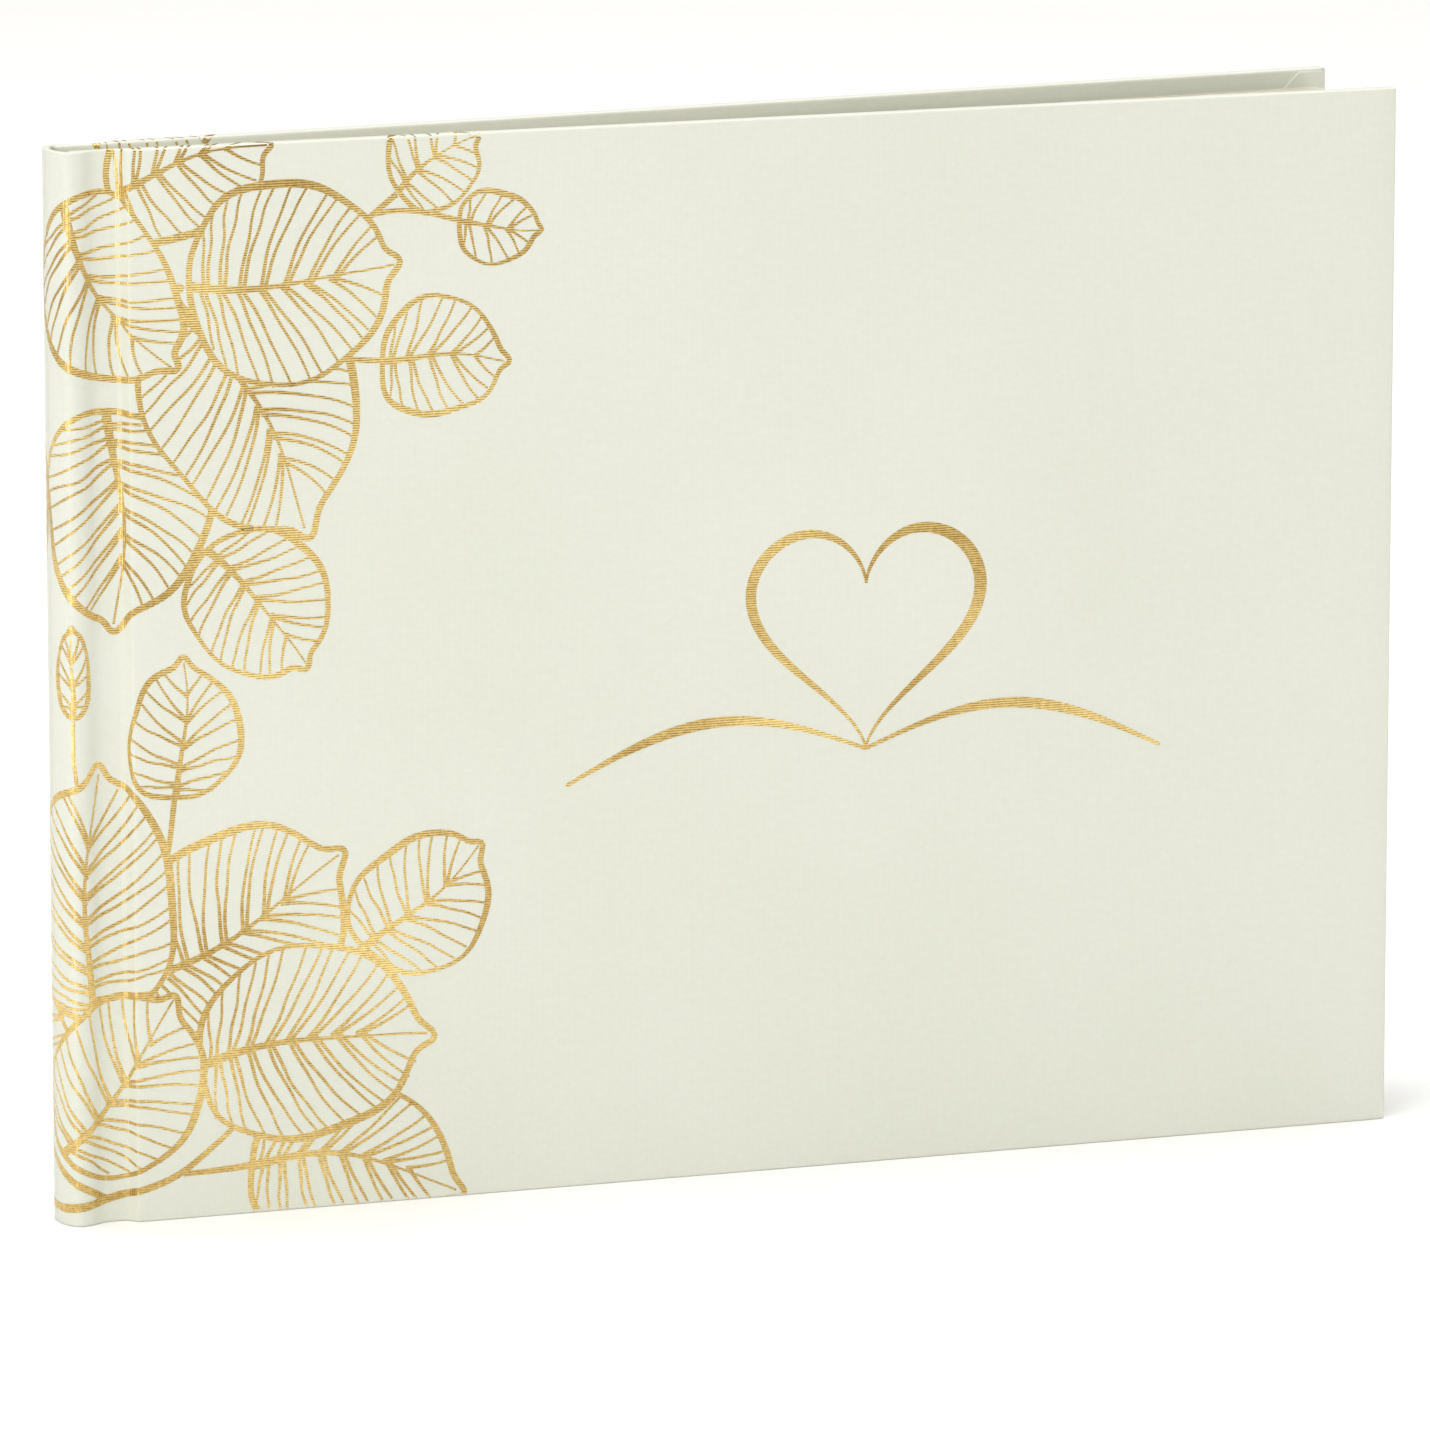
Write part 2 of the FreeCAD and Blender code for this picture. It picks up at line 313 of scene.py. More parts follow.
def cover_half(side, name):
    low, high = edge_round, book_height - edge_round
    rows = np.concatenate([
        [low, low + 0.3 * mm], np.linspace(low + mm, high - mm, 25), [high - 0.3 * mm, high],
    ])
    points, uvs, faces = [], [], []

    def grid(place, us, vs):
        first = len(points)
        for u in us:
            for v in vs:
                where, uv = place(u, v)
                points.append(where)
                uvs.append(uv)
        n = len(vs)
        for i in range(len(us) - 1):
            for j in range(n - 1):
                a = first + i * n + j
                faces.append((a, a + n, a + n + 1, a + 1))

    def at(s, t, sink, out=0.0):
        p = on_case(side, [s], t, sink)[0]
        if out:
            p[0] += out * math.cos(splay)
            p[1] += side * out * math.sin(splay)
        return p

    grid(lambda s, t: (at(s, t, 0.0), (s, t)), sheet_s, rows)
    inner = [0.3 * mm, 0.8 * mm, 1.5 * mm, *np.linspace(3 * mm, turn_in, 7)]
    reach = len(over_edge(cover_depth))
    mitre_from = sheet_length - turn_in - 6 * mm

    def head_or_tail(edge, sign):
        def place(s, k):
            depth = float(sheet_depth(s))
            if k < reach:
                out, sink = over_edge(depth)[k]
                return at(s, edge + sign * out, sink), (s, edge + sign * (out + sink))
            q = inner[k - reach]
            if s > mitre_from:
                s = mitre_from + (s - mitre_from) * (1 - (q + 0.1 * mm) / (sheet_length - mitre_from))
            return at(s, edge - sign * q, depth), (s, edge + sign * (depth + q))

        return place

    flap = list(range(reach + len(inner)))
    grid(head_or_tail(high, 1), sheet_s, flap)
    grid(head_or_tail(low, -1), sheet_s, flap)

    def fore(k, t):
        if k < reach:
            out, sink = over_edge(cover_depth)[k]
            return at(sheet_length, t, sink, out), (sheet_length + out + sink, t)
        q = inner[k - reach]
        middle = (low + high) / 2
        t = middle + (t - middle) * (1 - max(q - mitre_overlap, 0.1 * mm) / (high - middle))
        return at(sheet_length - q, t, cover_depth + 0.15 * mm), (sheet_length + cover_depth + q, t)

    grid(fore, flap, rows)

    def corner(edge, sign):
        def place(k, turn):
            out, sink = over_edge(cover_depth)[k]
            a = turn * math.pi / 8
            return (
                at(sheet_length, edge + sign * out * math.cos(a), sink, out * math.sin(a)),
                (sheet_length + out * math.sin(a) + sink, edge + sign * out * math.cos(a)),
            )

        return place

    grid(corner(high, 1), range(reach), range(5))
    grid(corner(low, -1), range(reach), range(5))
    piece = new_mesh(name, points, faces)
    map_sheet(piece, uvs)
    tidy = bmesh.new()
    tidy.from_mesh(piece.data)
    bmesh.ops.remove_doubles(tidy, verts=tidy.verts, dist=0.002 * mm)
    bmesh.ops.dissolve_degenerate(tidy, edges=tidy.edges, dist=0.002 * mm)
    bmesh.ops.recalc_face_normals(tidy, faces=tidy.faces)
    widest = max(tidy.faces, key=lambda f: f.calc_area())
    if widest.normal.y * side < 0:
        bmesh.ops.reverse_faces(tidy, faces=tidy.faces)
    for face in tidy.faces:
        face.smooth = True
    tidy.to_mesh(piece.data)
    tidy.free()
    wall = piece.modifiers.new("paper", "SOLIDIFY")
    wall.thickness = paper_thickness
    wall.offset = -1
    return piece


def weave_bump(nodes, links, depth, strength):
    """The linen emboss: crossed threads on the flat sheet's own map, a little uneven."""
    sheet_map = nodes.new("ShaderNodeUVMap")
    sheet_map.uv_map = "sheet"
    where = sheet_map.outputs["UV"]
    crossed, uneven = (nodes.new("ShaderNodeMath") for _ in range(2))
    crossed.operation, uneven.operation = "ADD", "MULTIPLY"
    for slot, axis in enumerate("XY"):
        wave = nodes.new("ShaderNodeTexWave")
        wave.bands_direction = axis
        wave.inputs["Scale"].default_value = wave_per_pitch / weave_pitch
        wave.inputs["Distortion"].default_value = 1.2
        wave.inputs["Detail"].default_value = 2.0
        wave.inputs["Detail Scale"].default_value = 0.35
        links.new(where, wave.inputs["Vector"])
        links.new(wave.outputs["Fac"], crossed.inputs[slot])
    links.new(crossed.outputs[0], uneven.inputs[0])
    links.new(noise_texture(nodes, links, where, 900.0), uneven.inputs[1])
    weave = uneven.outputs[0]
    return where, weave, relief(nodes, links, weave, depth, strength)


def cover_paper():
    material, nodes, links, shader = new_material("linen_cover_paper")
    where, weave, normal = weave_bump(nodes, links, 0.03 * mm, 0.5)
    cloud = noise_texture(nodes, links, where, 14.0)
    tone = tones(nodes, links, cloud, (0.735, 0.748, 0.665), (0.765, 0.775, 0.70), 0.3, 0.75)
    thread = nodes.new("ShaderNodeMix")
    thread.data_type = "RGBA"
    thread.blend_type = "MULTIPLY"
    thread.inputs["B"].default_value = (0.93, 0.935, 0.91, 1)
    links.new(weave, thread.inputs["Factor"])
    links.new(tone, thread.inputs["A"])
    coat(links, shader, thread.outputs["Result"], normal, 0.5, 0.35)
    return material


linen_paper = cover_paper()
for side, name in ((-1, "front"), (1, "rear")):
    covering = cover_half(side, name + "_covering_paper")
    covering.data.materials.append(linen_paper)
    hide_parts(name + "_wrap", "spine_wrap")
    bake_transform(covering)

# ---- Gold foil ------------------------------------------------------------------------------------------
# Round-leaved branches stamped in gold on the flat sheet, so they run through the joint and round the
# spine to the rear cover. A leaf lying over another hides it. The front cover also has a plain flourish:
# pen lines that make a heart between two swashes. Places are (along the sheet from the middle of the
# spine, height), in millimetres; the front is positive. The front's leaf and stem places weren't chosen by
# hand: a helper program worked them out, and another shifted both lists. report.md names this as an open
# departure.
foil_lift = 0.03 * mm
foil_bed = 0.03 * mm
foil_overlap = 0.03 * mm
fine_reach = 20
sheet_overrun = 3.5
stroke_step = 0.7
leaves_behind_to_front = (
    # base, tip, width, bend of the midrib
    ((8.4, 30.0), (-6.6, 52.0), 22, 0.06),
    ((-12.4, 22.0), (-38.4, 30.0), 26, -0.05),
    ((-38.4, 9.0), (-72.4, 3.0), 24, 0.05),
    ((-20.4, 40.0), (-50.4, 62.0), 29, 0.04),
    ((-18.4, 68.0), (-21.4, 92.0), 19, 0.05),
    ((-13.4, 142.0), (-15.4, 106.0), 30, -0.04),
    ((-14.4, 181.0), (-40.4, 186.0), 24, 0.05),
    ((-28.4, 158.0), (-50.4, 122.0), 34, 0.05),
    ((-22.4, 172.0), (-56.4, 166.0), 33, -0.05),
    ((-64.4, 150.0), (-86.4, 146.0), 19, 0.06),
    ((-58.4, 44.0), (-78.4, 58.0), 20, 0.06),
    ((38.4, 8.6), (77.4, 0.6), 27, 0.10),
    ((14.6, 180.0), (43.9, 188.0), 25, 0.06),
    ((66.9, 178.5), (81.4, 187.4), 17.5, 0.10),
    ((77.6, 173.0), (92.7, 170.6), 12.5, -0.04),
    ((63.4, 149.2), (86.6, 148.0), 20.5, 0.04),
    ((13.8, 143.0), (14.8, 104.5), 32, 0.05),
    ((28.4, 159.5), (50.2, 119.6), 36.5, 0.06),
    ((5.4, 179.0), (26.8, 149.6), 27, -0.12),
    ((29.0, 164.0), (67.0, 166.4), 35, -0.05),
    ((31.8, 117.4), (49.8, 95.6), 24.5, 0.05),
    ((6.0, 90.0), (5.8, 106.0), 6.5, 0.0),
    ((25.4, 74.6), (27.2, 99.2), 20, -0.05),
    ((59.6, 46.0), (81.4, 63.0), 23.5, -0.05),
    ((18.4, 42.4), (56.2, 63.4), 35, -0.05),
    ((9.0, 36.4), (11.0, 81.0), 34, 0.04),
    ((29.8, 26.8), (72.4, 29.2), 34, 0.06),
    ((3.0, 12.6), (25.4, 40.0), 30, -0.06),
)
stems = (
    # places along the stem, thickness at its root, thickness at its end
    (((13.4, 181.0), (18.4, 172.0), (23.4, 166.0), (27.9, 163.4)), 1.7, 1.2),
    (((18.4, 172.0), (23.9, 165.0), (28.6, 159.5)), 1.2, 1.0),
    (((54.9, 170.0), (60.4, 173.6), (66.9, 178.5)), 0.7, 1.1),
    (((55.9, 171.0), (61.9, 174.6), (69.4, 175.0), (77.6, 173.0)), 0.8, 0.9),
    (((54.4, 150.6), (58.9, 149.6), (63.4, 149.2)), 0.8, 1.0),
    (((16.4, 126.0), (23.4, 121.4), (31.8, 117.4)), 0.8, 1.1),
    (((8.8, 60.0), (7.1, 74.0), (6.1, 82.0), (6.0, 90.0)), 0.7, 0.6),
    (((19.4, 52.0), (23.8, 64.0), (25.4, 74.6)), 0.8, 1.0),
    (((8.4, 33.0), (12.4, 38.0), (18.4, 42.4)), 1.6, 1.2),
    (((10.4, 36.0), (18.4, 35.6), (25.4, 34.4), (31.4, 34.0)), 1.3, 0.9),
    (((52.4, 43.6), (56.4, 44.6), (59.6, 46.0)), 0.9, 1.1),
    (((2.6, 3.0), (12.9, 4.4), (24.1, 7.3), (32.1, 12.7), (38.9, 18.6)), 1.6, 0.8),
    (((26.4, 8.0), (32.4, 8.2), (38.6, 8.6)), 0.9, 1.2),
    (((-5.0, 174.0), (-12.4, 170.0), (-22.4, 172.0)), 1.2, 1.2),
    (((-14.4, 168.0), (-21.4, 163.0), (-28.4, 158.0)), 1.0, 1.0),
    (((-54.4, 155.0), (-59.4, 152.0), (-64.4, 150.0)), 0.8, 1.0),
    (((-16.4, 52.0), (-18.9, 60.0), (-18.4, 68.0)), 0.8, 1.0),
    (((12.0, 4.3), (4.0, 8.6), (-3.3, 14.0), (-12.4, 22.0)), 1.3, 1.2),
    (((-3.3, 14.0), (-12.4, 30.0), (-20.4, 40.0)), 1.2, 1.2),
    (((-46.4, 40.0), (-52.4, 41.0), (-58.4, 44.0)), 0.8, 1.0),
    (((3.3, 3.0), (-14.4, 4.0), (-26.4, 8.0), (-38.4, 9.0)), 1.4, 1.0),
)
heart_middle = (152.9, 98.0)
heart_scale = 1.35
swash_length = 56.0
hand = random.Random(7)


def resampled(line, step):
    run = np.concatenate([[0], np.cumsum(np.linalg.norm(np.diff(line, axis=0), axis=1))])
    places = np.linspace(0, run[-1], max(int(run[-1] / step), 2) + 1)
    return np.column_stack([np.interp(places, run, line[:, 0]), np.interp(places, run, line[:, 1])])


def inside(points, outline):
    """Which points lie inside a closed outline."""
    x, y = points[:, :1], points[:, 1:]
    x0, y0 = outline[:, 0], outline[:, 1]
    x1, y1 = np.roll(x0, -1), np.roll(y0, -1)
    crosses = (y0 > y) != (y1 > y)
    reach = x0 + (y - y0) * (x1 - x0) / np.where(y1 == y0, 1e-9, y1 - y0)
    return (crosses & (x < reach)).sum(axis=1) % 2 == 1


def leaf_strokes(base, tip, width, bend):
    """A leaf in the manner of a pen drawing: its outline, and every line in it as (points, half widths)."""
    base, tip = np.array(base), np.array(tip)
    length = np.linalg.norm(tip - base)
    size = length / 39.0
    ahead = (tip - base) / length
    across = np.array([-ahead[1], ahead[0]])
    sways = [hand.uniform(0, 6.28) for _ in range(3)]

    def laid(u, v):
        v = v + bend * length * np.sin(math.pi * np.clip(u / length, 0, 1))
        return base + np.outer(u, ahead) + np.outer(v, across)

    def rim(a):
        a = np.atleast_1d(a)
        point = np.exp(-(((a - math.pi) / 0.12) ** 2))
        narrow = np.exp(-(((a - math.pi) / 0.34) ** 2))
        sway = 1 + 0.022 * np.sin(3 * a + sways[0]) + 0.014 * np.sin(7 * a + sways[1])
        u = length * (0.5 - 0.5 * np.cos(a) * sway) * 0.93 + 0.07 * length * point
        v = 0.5 * width * np.sin(a) * (1 + 0.10 * np.cos(a)) * sway * (1 - 0.25 * narrow)
        v = np.sign(v) * np.abs(v / (0.5 * width)) ** 0.86 * 0.5 * width
        return u, v

    turn = np.linspace(0, 2 * math.pi, 241)
    outline = resampled(laid(*rim(turn)), stroke_step)
    swell = np.linspace(0, 2 * math.pi, len(outline))
    rim_half = (0.56 + 0.19 * np.sin(2 * swell + sways[2]) * np.sin(swell)) * (0.55 + 0.45 * min(size, 1))
    strokes = [(outline, rim_half)]
    t = np.linspace(0, 0.97, 40)
    midrib = resampled(laid(t * length, 0.012 * length * np.sin(7 * t + sways[0])), stroke_step)
    thin = np.clip(1 - np.linspace(0, 1, len(midrib)) / 0.8, 0, 1)
    strokes.append((midrib, (0.19 + 0.68 * thin**1.4) * (0.4 + 0.6 * min(size, 1))))
    count = max(5, round(0.34 * length + 1))
    steep_flank = hand.choice((1, -1))
    for flank in (1, -1):
        pull_ahead, pull_out = (0.40, 0.62) if flank == steep_flank else (0.52, 0.36)
        for k in range(count):
            share = (k + 0.5) / count
            start = 0.02 + 0.70 * min((k // 2 * 2 + 1) / count, 1) ** 1.25 + 0.02 * (k % 2)
            start += 0.02 * (flank == steep_flank)
            stop = 0.40 + 2.50 * share**0.84 + hand.uniform(-0.04, 0.04)
            u1, v1 = (float(q[0]) for q in rim(stop))
            u0, v1 = start * length, flank * v1
            far = math.hypot(u1 - u0, v1)
            s = np.linspace(0, 1, 28)
            pull_u = u0 + pull_ahead * (u1 - u0)
            pull_v = pull_out * v1
            u = (1 - s) ** 2 * u0 + 2 * s * (1 - s) * pull_u + s**2 * u1
            v = 2 * s * (1 - s) * pull_v + s**2 * v1
            wave = 0.022 * far * np.sin(hand.uniform(6, 11) * s + hand.uniform(0, 6.28)) * np.sin(math.pi * s)
            vein = laid(u + wave * 0.8, v + wave * 0.5 * flank)
            vein = resampled(vein, stroke_step)
            fade = np.linspace(1, 0, len(vein))
            strokes.append((vein, (0.21 + 0.14 * fade**2) * (0.75 + 0.25 * min(size, 1))))
    return outline, strokes


def stem_strokes(places, root, end):
    line = resampled(smooth(places, 10), stroke_step)
    return [(line, np.linspace(root, end, len(line)) / 2)]


def runs(mask):
    """Pairs of first and last index where a mask stays true."""
    edges = np.flatnonzero(np.diff(np.concatenate([[0], mask.astype(int), [0]])))
    return [(a, b) for a, b in zip(edges[::2], edges[1::2]) if b - a > 1]


def branch_strokes():
    drawn = [leaf_strokes(*leaf) for leaf in leaves_behind_to_front]
    kept = []
    for order, (outline, strokes) in enumerate(drawn):
        for line, half in strokes:
            seen = np.ones(len(line), bool)
            for over, _ in drawn[order + 1:]:
                seen &= ~inside(line, over)
            kept += [(line[a:b], half[a:b]) for a, b in runs(seen)]
    for stem in stems:
        for line, half in stem_strokes(*stem):
            seen = np.ones(len(line), bool)
            for over, _ in drawn:
                seen &= ~inside(line, over)
            kept += [(line[a:b], half[a:b]) for a, b in runs(seen)]
    return kept


def flourish_strokes():
    """The heart and its swashes, thick on the down strokes and thin on the turns."""
    x0, z0 = heart_middle
    lines = []
    for way in (-1, 1):
        t = np.linspace(0, math.pi, 120)
        x = x0 + way * heart_scale * 16 * np.sin(t) ** 3
        z = z0 + heart_scale * (13 * np.cos(t) - 5 * np.cos(2 * t) - 2 * np.cos(3 * t) - np.cos(4 * t))
        lobe = resampled(np.column_stack([x, z]), 0.6)
        s = np.linspace(0, 1, len(lobe))
        lines.append((lobe, 0.24 + (0.74 if way < 0 else 0.92) * np.sin(math.pi * s**0.8) ** 1.6))
        s = np.linspace(0, 1, 80)
        swash = np.column_stack([
            x0 + way * s * swash_length,
            z0 - 17 * heart_scale + 8 * np.sin(math.pi * s) - 3 * s,
        ])
        swash = resampled(swash, 0.6)
        s = np.linspace(0, 1, len(swash))
        lines.append((swash, 0.34 + 0.86 * np.sin(math.pi * s) ** 2 * (0.4 + 0.6 * s)))
    return lines


def on_sheet(side, s, t, lift):
    """Places lifted off the outer face, which go on over the head and tail edges and in under them."""
    depth = sheet_depth(np.abs(s))
    r = edge_round
    over = np.maximum(t - (book_height - r), r - t)
    end_way = np.where(t > book_height / 2, 1.0, -1.0)
    base = np.clip(t, r, book_height - r)
    b = np.maximum(over, 0)
    b1 = math.pi * r / 2
    b2 = b1 + depth - 2 * r
    b3 = b2 + b1
    second = np.minimum((b - b2) / r, math.pi / 2) + math.pi / 2
    turn = np.where(b < b1, b / r, np.where(b < b2, math.pi / 2, second))
    under = np.where(b < b3, r * np.sin(turn), b3 - b)
    out = np.where(b < b1, r * np.sin(b / r), np.where(b < b2, r, under))
    sink = np.where(
        b < b1, r * (1 - np.cos(b / r)),
        np.where(b < b2, r + b - b1, np.where(b < b3, depth - r - r * np.cos(turn), depth)),
    )
    out = out + lift * np.sin(turn)
    sink = sink - lift * np.cos(turn)
    place = on_case(side, s, base, sink)
    place[:, 2] += end_way * out
    return place


def foil_piece(name, strokes, side, sign):
    """Thin raised ribbons along the strokes that lie on one half of the sheet."""
    vertices, faces, uvs = [], [], []
    for order, (line, half) in enumerate(strokes):
        lift = foil_lift + foil_overlap * (order * 0.618 % 1)
        if np.abs(line[:, 0]).min() < fine_reach:
            fine = resampled(line, 0.3)
            half = np.interp(np.linspace(0, 1, len(fine)), np.linspace(0, 1, len(line)), half)
            line = fine
        on_half = sign * line[:, 0] >= -0.01
        on_half &= (line[:, 1] > -sheet_overrun) & (line[:, 1] < book_height / mm + sheet_overrun)
        for a, b in runs(on_half):
            p, w = line[a:b], half[a:b, None]
            way = np.gradient(p, axis=0)
            way /= np.maximum(np.linalg.norm(way, axis=1), 1e-9)[:, None]
            left = np.column_stack([-way[:, 1], way[:, 0]])
            strips = 1 if np.abs(p[:, 0]).min() > fine_reach else (4 if w.max() > 0.3 else 2)
            across = np.linspace(1, -1, strips + 1)
            ring = [(c, lift) for c in across] + [(c, -foil_bed) for c in across[::-1]]
            first, n = len(vertices), len(p)
            for c, raised in ring:
                rim = (p + left * w * c) * mm
                rim[:, 0] = sign * np.maximum(sign * rim[:, 0], 0)
                vertices += list(on_sheet(side, rim[:, 0] * sign, rim[:, 1], raised))
                uvs += [tuple(q) for q in rim]
            for k in range(len(ring)):
                here, there = first + k * n, first + (k + 1) % len(ring) * n
                faces += [(here + i, here + i + 1, there + i + 1, there + i) for i in range(n - 1)]
            faces.append(tuple(first + k * n for k in range(len(ring))))
            faces.append(tuple(first + k * n + n - 1 for k in reversed(range(len(ring)))))
    piece = new_mesh(name, vertices, faces)
    map_sheet(piece, uvs)
    face_outwards(piece)
    return piece


def gold_foil():
    material, nodes, links, shader = new_material("gold_foil")
    where, _, normal = weave_bump(nodes, links, 0.045 * mm, 1.0)
    mottle = nodes.new("ShaderNodeMath")
    mottle.operation = "MULTIPLY_ADD"
    mottle.inputs[1].default_value = 0.45
    links.new(noise_texture(nodes, links, where, 1300.0), mottle.inputs[0])
    links.new(noise_texture(nodes, links, where, 34.0, 4.0), mottle.inputs[2])
    tone = tones(nodes, links, mottle.outputs[0], (0.48, 0.31, 0.095), (0.91, 0.69, 0.285), 0.5, 0.92)
    coat(links, shader, tone, normal, 0.27)
    shader.inputs["Metallic"].default_value = 1.0
    return material


gold = gold_foil()
branches = branch_strokes()
for side, sign, name, stands_for in (
    (-1, 1, "front", ("front_foil", "spine_foil")), (1, -1, "rear", ("rear_foil", "spine_foil")),
):
    foil = foil_piece(name + "_foil_leaves", branches, side, sign)
    foil.data.materials.append(gold)
    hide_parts(*stands_for)
    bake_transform(foil)

flourish = foil_piece("foil_flourish", flourish_strokes(), -1, 1)
flourish.data.materials.append(gold)
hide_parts("front_flourish")
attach(flourish, "front_cover")

# ---- Endpapers ------------------------------------------------------------------------------------------
# At each end of the text block one folded sheet of cream paper: half of it is pasted down over the
# joint and the board's turn-ins, and the other half is the free flyleaf.
shoulder = spine_x + 2.02 * mm
leaf_low, leaf_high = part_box("front_flyleaf")
pastedown_inset = 5.5 * mm
pasted_thickness, flyleaf_thickness = 0.14 * mm, 0.2 * mm


def thin_sheet(name, line, thickness, low, high, rows=2):
    """A closed sheet of one thickness that follows plan points and stands between two heights."""
    run = np.gradient(line, axis=0)
    run /= np.linalg.norm(run, axis=1)[:, None]
    normal = np.column_stack([-run[:, 1], run[:, 0]])
    ring = np.vstack([line + normal * thickness / 2, (line - normal * thickness / 2)[::-1]])
    n, half = len(ring), len(line)
    heights = np.linspace(low, high, rows)
    vertices = [(x, y, z) for z in heights for x, y in ring]
    faces = []
    for k in range(rows - 1):
        for i in range(n):
            a, b = k * n + i, k * n + (i + 1) % n
            faces.append((a, b, b + n, a + n))
    top = (rows - 1) * n
    for i in range(half - 1):
        faces.append((n - 1 - i, n - 2 - i, i + 1, i))
        faces.append((top + i, top + i + 1, top + n - 2 - i, top + n - 1 - i))
    piece = new_mesh(name, vertices, faces)
    face_outwards(piece)
    return piece


def fanned(x, y, side, joint, start, end):
    """Plan points of a leaf turned to where it stands, easing in over the leaf's bend."""
    pivot = joints[joint]["pos_m"]
    angle = splay * shares.get(joint, 1.0) * eased(x, start, end)
    return np.column_stack(turned(x, y, side, pivot, angle))


def plain_paper(name, cloud, dark, light, grain, roughness, specular):
    """Uncoated paper: cloud is (scale, detail), and grain is (scale, depth, strength)."""
    material, nodes, links, shader = new_material(name)
    where = nodes.new("ShaderNodeTexCoord").outputs["Object"]
    tone = tones(nodes, links, noise_texture(nodes, links, where, *cloud), dark, light, 0.3, 0.7)
    grain_scale, depth, strength = grain
    normal = relief(nodes, links, noise_texture(nodes, links, where, grain_scale), depth, strength)
    coat(links, shader, tone, normal, roughness, specular)
    return material


endpaper = plain_paper(
    "cream_endpaper", (220.0, 6.0), (0.80, 0.775, 0.65), (0.85, 0.83, 0.72),
    (1500.0, 0.02 * mm, 0.25), 0.75, 0.25,
)
leaf_bend = (shoulder + 5.5 * mm, shoulder + 9.5 * mm)
leaf_fore = fore_x - 3 * mm
for side, name in ((-1, "front"), (1, "rear")):
    x = np.concatenate([
        np.linspace(shoulder + 1.2 * mm, shoulder + 13 * mm, 30),
        np.linspace(shoulder + 20 * mm, fore_x - pastedown_inset, 24),
    ])
    out = hinge_y + np.interp(x, shoulder + np.array([9.5, 12.0]) * mm, np.array([-0.02, 0.08]) * mm)
    angle = splay * bend_share(x)
    line = np.column_stack(turned(x, side * out, side, (hinge_x, side * hinge_y), angle))
    pasted = thin_sheet(
        name + "_pasted_endpaper", line, pasted_thickness, pastedown_inset, book_height - pastedown_inset
    )
    pasted.data.materials.append(endpaper)
    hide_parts(name + "_pastedown")
    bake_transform(pasted)

    x = np.concatenate([
        np.linspace(shoulder + 1.1 * mm, leaf_bend[1] + mm, 22),
        np.linspace(shoulder + 20 * mm, leaf_fore, 24),
    ])
    turn_name = name + "_flyleaf_turn"
    line = fanned(x, np.full(len(x), joints[turn_name]["pos_m"][1]), side, turn_name, *leaf_bend)
    free = thin_sheet(name + "_free_endpaper", line, flyleaf_thickness, leaf_low[2], leaf_high[2])
    free.data.materials.append(endpaper)
    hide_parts(name + "_flyleaf", name + "_endpaper_fold")
    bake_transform(free)

# ---- Text block -----------------------------------------------------------------------------------------
# Eight sewn sections of four folded sheets, one inside another: sixty-four ivory leaves.
sections = 8
section_pitch = 0.6 * mm
sheets_in_section = 4
leaf_spacing = 0.061 * mm
leaf_thickness = 0.046 * mm
fold_middle = shoulder + 1.25 * mm
page_wave = 0.03 * mm
ivory = plain_paper(
    "ivory_leaf_paper", (160.0, 5.0), (0.83, 0.805, 0.69), (0.87, 0.85, 0.745),
    (2200.0, 0.01 * mm, 0.15), 0.8, 0.2,
)
binder = random.Random(3)
for number in range(1, sections + 1):
    turn_name = f"section_{number}_turn"
    middle_y = joints[turn_name]["pos_m"][1]
    side = -1 if middle_y < 0 else 1
    phase = binder.uniform(0, 6.28)
    for k in range(sheets_in_section):
        reach = (k + 0.5) * leaf_spacing
        trim = binder.uniform(-0.12, 0.12) * mm
        flat = np.concatenate([
            np.linspace(fold_middle, leaf_bend[0], 5), np.linspace(*leaf_bend, 12)[1:],
            np.linspace(leaf_bend[1], leaf_fore + trim, 22)[1:],
        ])
        a = np.linspace(math.pi / 2, 3 * math.pi / 2, 9)[1:-1]
        x = np.concatenate([flat[::-1], fold_middle + reach * np.cos(a), flat])
        y = np.concatenate([np.full(len(flat), reach), reach * np.sin(a), np.full(len(flat), -reach)])
        y += page_wave * np.sin((x - fold_middle) * 45 + phase) * np.clip((x - leaf_bend[1]) / 0.03, 0, 1)
        line = fanned(x, middle_y + y, side, turn_name, *leaf_bend)
        sheet_name = f"section_{number}_sheet_{k + 1}"
        folded = thin_sheet(sheet_name, line, leaf_thickness, leaf_low[2], leaf_high[2])
        folded.data.materials.append(ivory)
        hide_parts(f"section_{number}", "section_folds")
        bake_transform(folded)

# ---- Headband and tailband ------------------------------------------------------------------------------
# A cord wound with cream and gold thread, glued over the folds at the head and at the tail.
band_core = 0.5 * mm
winding_thread = 0.17 * mm
windings = 16
band_half = 2.3 * mm
band_offset = 0.72 * mm


def endband_cloth():
    material, nodes, links, shader = new_material("endband_thread")
    where = nodes.new("ShaderNodeTexCoord").outputs["Object"]
    stripe = nodes.new("ShaderNodeTexWave")
    stripe.bands_direction = "Y"
    stripe.inputs["Scale"].default_value = 200.0
    stripe.inputs["Distortion"].default_value = 0.4
    links.new(where, stripe.inputs["Vector"])
    tone = tones(nodes, links, stripe.outputs["Fac"], (0.60, 0.42, 0.17), (0.84, 0.81, 0.70), 0.46, 0.54)
    normal = relief(nodes, links, noise_texture(nodes, links, where, 4000.0), 0.03 * mm, 0.4)
    coat(links, shader, tone, normal, 0.6)
    shader.inputs["Sheen Weight"].default_value = 0.3
    return material


def number_input(tree, name, kind="NodeSocketFloat"):
    return tree.interface.new_socket(name=name, in_out="INPUT", socket_type=kind).identifier


